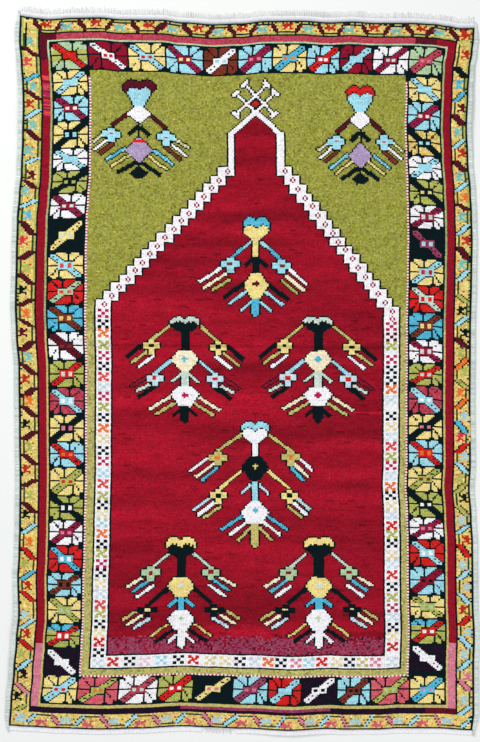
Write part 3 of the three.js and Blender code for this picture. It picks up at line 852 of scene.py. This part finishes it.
def add_mesh(name, points, faces, material, tints):
    """A piece from arrays of points and faces, with a colour for each corner of each face."""
    points, faces = np.asarray(points, float), np.asarray(faces, int)
    corners = faces.shape[1]
    mesh = bpy.data.meshes.new(name)
    mesh.vertices.add(len(points))
    mesh.vertices.foreach_set("co", points.astype(np.float32).ravel())
    mesh.loops.add(faces.size)
    mesh.loops.foreach_set("vertex_index", faces.astype(np.int32).ravel())
    mesh.polygons.add(len(faces))
    mesh.polygons.foreach_set("loop_start", np.arange(0, faces.size, corners, dtype=np.int32))
    mesh.polygons.foreach_set("use_smooth", np.full(len(faces), True))
    mesh.update(calc_edges=True)
    layer = mesh.attributes.new("yarn", "FLOAT_COLOR", "CORNER")
    opaque = np.concatenate((tints.reshape(-1, 3), np.ones((faces.size, 1))), 1)
    layer.data.foreach_set("color", opaque.astype(np.float32).ravel())
    layer = mesh.uv_layers.new(name="OFBake")
    layer.data.foreach_set("uv", flat_uv(points, faces).reshape(-1).astype(np.float32))
    mesh.materials.append(material)
    mesh.validate()
    return add_object(name, mesh)


def knots(name, where, material):
    """The pile of some of the knots: four leaning faces round each knot's middle."""
    row, col = np.nonzero(where)
    wide = COLS + 1
    first = row * wide + col
    ring = np.stack((first, first + wide, first + wide + 1, first + 1), 1)
    centre = len(corner_points) + row * COLS + col
    faces = np.stack(
        [np.stack((ring[:, k], ring[:, (k + 1) % 4], centre), 1) for k in range(4)], 1
    ).reshape(-1, 3)
    used, faces = np.unique(faces, return_inverse=True)
    faces = faces.reshape(-1, 3)
    points = np.concatenate((corner_points, middle_points))[used]
    own = np.repeat(tint[row, col], 4, axis=0) * (1 + rng.normal(0, 0.07, (len(faces), 1)))
    # Painted shade and light: each face is darker at the knot's corners, down between the tufts,
    # and lighter at its raised middle
    tints = np.stack((own * 0.86, own * 0.86, own * 1.14), 1)
    piece = add_mesh(name, points, faces, material, tints)
    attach(piece, "root")
    return piece


def grid_faces(rows, cols):
    """Faces of a grid of points, row after row."""
    first = (np.arange(rows - 1)[:, None] * cols + np.arange(cols - 1)).ravel()
    return np.stack((first, first + 1, first + cols + 1, first + cols), 1)


# Materials

def sockets(node, **values):
    """Sets inputs of a node by name, with _ where the name has a space."""
    for name, value in values.items():
        node.inputs[name.replace("_", " ")].default_value = value


def new_material(name, **values):
    material = bpy.data.materials.new(name)
    material.use_nodes = True
    tree = material.node_tree
    shader = tree.nodes["Principled BSDF"]
    sockets(shader, **values)
    return material, tree.nodes.new, tree.links.new, shader


def yarn_material(name, rough, sheen, grain, bump):
    """Wool or cotton: the yarn's own colour, broken by fibre, with a soft uneven surface."""
    material, node, link, shader = new_material(
        name, Roughness=rough, Specular_IOR_Level=0.08, Sheen_Weight=sheen, Sheen_Roughness=0.55,
    )
    fine = node("ShaderNodeTexNoise")
    sockets(fine, Scale=grain, Detail=3.0, Roughness=0.6)
    link(node("ShaderNodeTexCoord").outputs["Object"], fine.inputs["Vector"])
    spread = node("ShaderNodeMapRange")
    sockets(spread, From_Min=0.3, From_Max=0.7, To_Min=0.7, To_Max=1.3)
    link(fine.outputs["Fac"], spread.inputs["Value"])
    mixed = node("ShaderNodeMix")
    mixed.data_type = "RGBA"
    mixed.blend_type = "MULTIPLY"
    sockets(mixed, Factor=1.0)
    colour = node("ShaderNodeAttribute")
    colour.attribute_name = "yarn"
    link(colour.outputs["Color"], mixed.inputs[6])
    link(spread.outputs["Result"], mixed.inputs[7])
    link(mixed.outputs[2], shader.inputs["Base Color"])
    rise = node("ShaderNodeBump")
    sockets(rise, Strength=0.6, Distance=bump)
    link(fine.outputs["Fac"], rise.inputs["Height"])
    link(rise.outputs["Normal"], shader.inputs["Normal"])
    return material


pile_wool = yarn_material("cut wool pile", 0.95, 0.04, 420, 0.0009)
back_wool = yarn_material("knotted back", 0.9, 0.04, 600, 0.0004)
web_yarn = yarn_material("woven web", 0.88, 0.06, 700, 0.0004)
cord_wool = yarn_material("overcast selvedge", 0.88, 0.06, 650, 0.0004)
warp_yarn = yarn_material("warp ends", 0.85, 0.06, 800, 0.0003)

# The pile, in pieces that part along the pattern
deep_left = np.where(row_of < KNEES["left"], 37, 51)
deep_right = np.where(row_of < KNEES["right"], 36, 49)
left_zone = col_of < deep_left
right_zone = col_of >= COLS - deep_right
end_zone = ((row_of < 35) | (row_of >= ROWS - 50)) & ~left_zone & ~right_zone
rest = ~(left_zone | right_zone | end_zone)
field_zone = rest & (niche | ~above)
pile_pieces = [
    knots("pile_border_left", left_zone, pile_wool),
    knots("pile_border_right", right_zone, pile_wool),
    knots("pile_border_ends", end_zone, pile_wool),
    knots("pile_field", field_zone, pile_wool),
    knots("pile_spandrels", rest & ~field_zone, pile_wool),
]


def edge_loop():
    """The corners of the body's outline, once round, with the knot that each belongs to."""
    top = [(0, c) for c in range(COLS)]
    right = [(r, COLS) for r in range(ROWS)]
    bottom = [(ROWS, c) for c in range(COLS, 0, -1)]
    left = [(r, 0) for r in range(ROWS, 0, -1)]
    return np.array(top + right + bottom + left)


loop = edge_loop()
loop_u, loop_v = loop[:, 1].astype(float), loop[:, 0].astype(float)
start = loop[:, 0] * (COLS + 1) + loop[:, 1]
levels = [corner_points[start]]
for share, out in ((0.55, 0.04), (0.15, 0.03)):
    swell_u = loop_u + out * ((loop_u == COLS) * 1.0 - (loop_u == 0))
    swell_v = loop_v + out * ((loop_v == ROWS) * 1.0 - (loop_v == 0))
    high = corner_high[loop[:, 0], loop[:, 1]] * share + rng.normal(0, 0.1, len(loop))
    levels.append(place(np.clip(swell_u, 0, COLS), np.clip(swell_v, 0, ROWS), high))
rim_points = np.concatenate(levels)
count = len(loop)
here = np.arange(count)
after = (here + 1) % count
rim_faces = np.concatenate(
    [np.stack((here + k * count, after + k * count, after + (k + 1) * count,
               here + (k + 1) * count), 1) for k in range(2)]
)
edge_tint = tint[np.clip(loop[:, 0], 0, ROWS - 1), np.clip(loop[:, 1], 0, COLS - 1)]
rim_tints = np.repeat(np.concatenate((edge_tint, edge_tint)), 4, axis=0)
rim = add_mesh("pile_edge", rim_points, rim_faces, pile_wool, rim_tints)
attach(rim, "root")

# The back, where each knot shows as a short stitch of its own dye
back_v, back_u = np.mgrid[0 : ROWS + 1, 0 : COLS + 1].astype(float)
back_high = 0.45 + rng.normal(0, 0.12, back_v.shape).clip(-0.3, 0.3)
back_points = place(back_u, back_v, back_high)
back_tint = tint * 0.9
back_pieces = []
for name, first, last in (("back_upper", 0, ROWS // 2), ("back_lower", ROWS // 2, ROWS)):
    points = back_points.reshape(ROWS + 1, COLS + 1, 3)[first : last + 1].reshape(-1, 3)
    faces = grid_faces(last - first + 1, COLS + 1)
    tints = np.repeat(back_tint[first:last].reshape(-1, 3), 4, axis=0)
    piece = add_mesh(name, points, faces, back_wool, tints)
    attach(piece, "root")
    back_pieces.append(piece)


# The ground weave runs under the pile from web to web, and shows at the ends

def reach_at(rows, u):
    return np.interp(u, [at for at, _ in rows], [long for _, long in rows])


TOP_WEB = ((0, WEB_LENGTH), (1, WEB_LENGTH))
BOTTOM_WEB = (
    (0, WEB_LENGTH), (FRAYED_FROM - 0.01, WEB_LENGTH), (FRAYED_FROM - 0.002, FRAYED_WEB),
    (FRAYED_TO + 0.002, FRAYED_WEB), (FRAYED_TO + 0.01, WEB_LENGTH), (1, WEB_LENGTH),
)


def past_end(is_top, u, out, high):
    """Points past an end of the body, out millimetres from its last row."""
    x, y = plan(u, np.full_like(u, 0.0 if is_top else 1.0))
    y = y + (out if is_top else -out)
    return metres(x, y, lift(x, y) + high)


WARPS, PICKS, BODY_STEPS = 2 * COLS, 20, 32
RIB = 0.22  # how far a warp rises or sinks at each pick
UNDER = (-0.3, 0.3, 0.96)  # rows under a web, as shares of its length


def weave_rows():
    """The sheet as rows of points, folded over at the end of either web."""
    u = np.linspace(0, 1, WARPS + 1)
    rib = np.where(np.arange(WARPS + 1) % 2 == 0, RIB, -RIB)
    rows = []
    for is_top, web in ((True, TOP_WEB), (False, BOTTOM_WEB)):
        far = reach_at(web, u)
        under = [past_end(is_top, u, far * s, np.full_like(u, 0.3)) for s in UNDER]
        over = []
        for n in range(PICKS + 1):
            share = 1 - n / PICKS
            beat = rib * (1 if n % 2 == 0 else -1)
            edge = 0.6 * (share > 0.97)
            over.append(past_end(is_top, u, far * share, WEB_THICKNESS - 0.35 + beat - edge))
        over.append(past_end(is_top, u, far * -0.3, np.full_like(u, WEB_THICKNESS - 0.4)))
        rows.append(under + over)
    middle = []
    for n in range(1, BODY_STEPS):
        v = np.full_like(u, n / BODY_STEPS)
        middle.append(place(u * COLS, v * ROWS, WEB_THICKNESS - 0.4).reshape(-1, 3))
    return rows[0] + middle + rows[1][::-1]


weave = np.array(weave_rows())
weave_points = weave.reshape(-1, 3)
weave_faces = grid_faces(weave.shape[0], weave.shape[1])[:, ::-1]
pick_light = 1 + rng.normal(0, 0.05, (weave.shape[0], weave.shape[1]))
# Painted shade on the top web: darker and greyer green towards the pile, where the pile's shadow
# falls
painted_web_light = np.full(weave.shape[0], 1.0)
upper_side = slice(len(UNDER), len(UNDER) + PICKS + 2)  # of the top web
painted_web_light[upper_side] = 1 - 0.62 * np.linspace(0, 1, PICKS + 2) ** 1.6
pile_shadow_colour = daylight(PILE_SHADOW_COTTON)
web_colour = daylight(COTTON) + (1 - painted_web_light)[:, None] * (pile_shadow_colour - 0.95)
weave_tint = (web_colour * painted_web_light[:, None])[:, None] * pick_light[..., None]
weave_tint = weave_tint.reshape(-1, 3).clip(0.02, 0.95)
ground = add_mesh("ground_weave", weave_points, weave_faces, web_yarn, weave_tint[weave_faces])
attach(ground, "root")
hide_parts("web_top", "web_bottom")
for piece in (*pile_pieces, rim, *back_pieces):
    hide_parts("knotted_body")


# Selvedges: two cords side by side, overcast together with wool

WRAP_PITCH = 3.62
TAPER_LENGTH, END_SHARE = 42, 0.45  # how they narrow towards their ends


def selvedge(name, is_left):
    """One side's two cords, as a single tube with a waist that swells with each wrap."""
    past = GAP + WEB_LENGTH
    wraps = int((LENGTH + 2 * past) / WRAP_PITCH)
    steps = wraps * 3
    at = np.linspace(-past, LENGTH + past, steps + 1)
    side = 0.0 if is_left else 1.0
    x, y = plan(np.full_like(at, side), np.clip(at / LENGTH, 0, 1))
    y = y - np.where(at < 0, at, np.where(at > LENGTH, at - LENGTH, 0))
    to_end = np.minimum(at + past, LENGTH + past - at)
    narrow = END_SHARE + (1 - END_SHARE) * smooth(to_end / TAPER_LENGTH)
    radius = SELVEDGE_CORD / 2
    around = []
    for centre, first, last in ((0.5, 60, 300), (1.5, -120, 120)):
        for angle in np.linspace(first, last, 9):
            around.append((centre * SELVEDGE_CORD, math.radians(angle)))
    rings = []
    for centre, angle in around:
        turned = angle if centre < SELVEDGE_CORD else math.pi - angle
        phase = 2 * math.pi * (at / WRAP_PITCH + turned / 12)
        swell = radius * (0.93 + 0.07 * np.cos(phase))
        across = centre + swell * math.cos(angle)
        high = radius + swell * math.sin(angle)
        if is_left:
            shift = x - GAP - narrow * (2 * SELVEDGE_CORD - across)
        else:
            shift = x + GAP + narrow * across
        rings.append(metres(shift, y, lift(shift, y) + np.maximum(high, 0.05)))
    rings.append(rings[0])
    tube = np.array(rings).transpose(1, 0, 2)
    closed = tube.shape[1]
    points = tube.reshape(-1, 3)
    faces = grid_faces(tube.shape[0], closed)
    tone = 1 + np.repeat(rng.normal(0, 0.09, wraps + 1), 3)[: steps + 1]
    # Painted shade in the grooves between the wraps
    wrap_groove_shade = 0.78 + 0.22 * (np.cos(2 * math.pi * at / WRAP_PITCH) > -0.4)
    tints = daylight(SELVEDGE_WOOL) * np.repeat(tone * wrap_groove_shade, closed)[:, None]
    tints = tints.clip(0, 0.92)
    piece = add_mesh(name, points, faces, cord_wool, tints[faces])
    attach(piece, "root")
    return piece


cord_left = selvedge("selvedge_cords_left", True)
cord_right = selvedge("selvedge_cords_right", False)
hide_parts("selvedge_left")
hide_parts("selvedge_right")


# Fringe: the cut warp ends, three to a lock

END_RADIUS, END_SPACING, NARROWING = 0.62, 1.15, 0.35


def uneven(n, kind):
    wave = math.sin(n * 12.9898 + kind * 78.233) * 43758.5453
    return wave - math.floor(wave)


def fringe(name, node, is_top, web, from_share, to_share, locks, length):
    """The warp ends past one web, from one share of its width to another."""
    near = 2 * GAP + web
    far = near + STRIP_LENGTH
    points, faces, tints = [], [], []
    side = 1 if is_top else -1
    for n in range(locks):
        u = from_share + (to_share - from_share) * (n + 0.5) / locks
        x, y = (float(k) for k in plan(np.array(u), np.array(0.0 if is_top else 1.0)))
        lean = 0.2 * math.sin(n * 0.35) + 0.14 * (uneven(n, 1) - 0.5)
        reach = length * (0.65 + 0.45 * uneven(n, 3))
        for k in (-1, 0, 1):
            end = reach * (1 - 0.18 * rng.random())
            wave = rng.uniform(-0.8, 0.8, 2)
            tone = (daylight(WARP_COTTON) * (1 + rng.normal(0, 0.07))).clip(0, 0.95)
            base = len(points)
            for step, share in enumerate((0, 0.25, 0.5, 0.75, 1)):
                out = near - LOCK_ROOT + share * (end + STRIP_LENGTH + LOCK_ROOT)
                free = max(0, out - far)
                mid = side * (k * END_SPACING * (1 - NARROWING * share) + lean * free)
                mid += wave[0] * math.sin(2.6 * share + wave[1] * 4) * share
                thick = END_RADIUS * (1 - NARROWING * share)
                high = 1.5 * (1 - share) + thick * 0.7 + 0.25 * uneven(n * 3 + k, step)
                px, py = x + mid, y + side * out
                floor = float(lift(np.array(x), np.array(y + side * far)))
                for angle in (45, 135, 225, 315):
                    a = math.radians(angle)
                    z = floor + max(0.04, high + thick * math.sin(a))
                    points.append(((px + thick * math.cos(a) + BOX_SHIFT[0]) / 1000,
                                   (py + BOX_SHIFT[1]) / 1000, z / 1000))
                    tints.append(tone)
            for step in range(4):
                for c in range(4):
                    a, b = base + 4 * step + c, base + 4 * step + (c + 1) % 4
                    faces.append((a, b, b + 4, a + 4))
            faces.append((base + 16, base + 17, base + 18, base + 19))
    points, faces, tints = np.array(points), np.array(faces), np.array(tints)
    piece = add_mesh(name, points, faces, warp_yarn, tints[faces])
    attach(piece, "root")
    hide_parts(node)
    return piece


fringe_top = fringe("warp_ends_top", "fringe_top", True, WEB_LENGTH, 0, 1, TOP_LOCKS,
                    TOP_LOCK_LENGTH)
fringe_bottom = fringe("warp_ends_bottom", "fringe_bottom", False, FRAYED_WEB, FRAYED_FROM,
                       FRAYED_TO, FRAYED_LOCKS, FRAYED_LOCK_LENGTH)


# Floor, light and camera

floor_look, node, link, shader = new_material("pale floor", Roughness=0.7)
noise = node("ShaderNodeTexNoise")
sockets(noise, Scale=9.0)
ramp = node("ShaderNodeValToRGB")
ramp.color_ramp.elements[0].color = (0.86, 0.87, 0.85, 1)
ramp.color_ramp.elements[1].color = (0.91, 0.92, 0.9, 1)
link(noise.outputs["Fac"], ramp.inputs["Fac"])
link(ramp.outputs["Color"], shader.inputs["Base Color"])
floor_mesh = bpy.data.meshes.new("floor")
floor_mesh.from_pydata(
    [(-6, -6, 0), (6, -6, 0), (6, 6, 0), (-6, 6, 0)], [], [(0, 1, 2, 3)]
)
floor_mesh.materials.append(floor_look)
floor = add_object("floor", floor_mesh)
floor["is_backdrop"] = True


def area_light(name, where, power, size, colour):
    data = bpy.data.lights.new(name, "AREA")
    data.energy = power
    data.size = size
    data.color = colour
    light = add_object(name, data)
    light.location = where
    x, y, z = where
    light.rotation_euler = (math.atan2(math.hypot(x, y), z), 0, math.atan2(y, x) + math.pi / 2)


area_light("key", (-2.6, 3.0, 3.6), 142, 1.6, (1, 0.985, 0.96))
area_light("fill", (2.8, -2.8, 4.2), 92, 3.0, (0.96, 0.98, 1))
world = bpy.data.worlds.new("studio")
world.use_nodes = True
sockets(world.node_tree.nodes["Background"], Color=(0.95, 0.97, 1, 1), Strength=0.55)
bpy.context.scene.world = world
bpy.context.scene.view_settings.view_transform = "Standard"

VIEW_HEIGHT = PICTURE_HEIGHT * SQUARE / 1000
camera_data = bpy.data.cameras.new("camera")
camera_data.lens = 120
camera = add_object("camera", camera_data)
camera_high = VIEW_HEIGHT / 2 * camera_data.lens / (camera_data.sensor_width / 2) + 0.009
camera.location = (
    ((PICTURE_WIDTH / 2 - MIDDLE_X) * SQUARE + BOX_SHIFT[0]) / 1000,
    ((MIDDLE_Y - PICTURE_HEIGHT / 2) * SQUARE + BOX_SHIFT[1]) / 1000,
    camera_high,
)
bpy.context.scene.camera = camera

low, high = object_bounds()
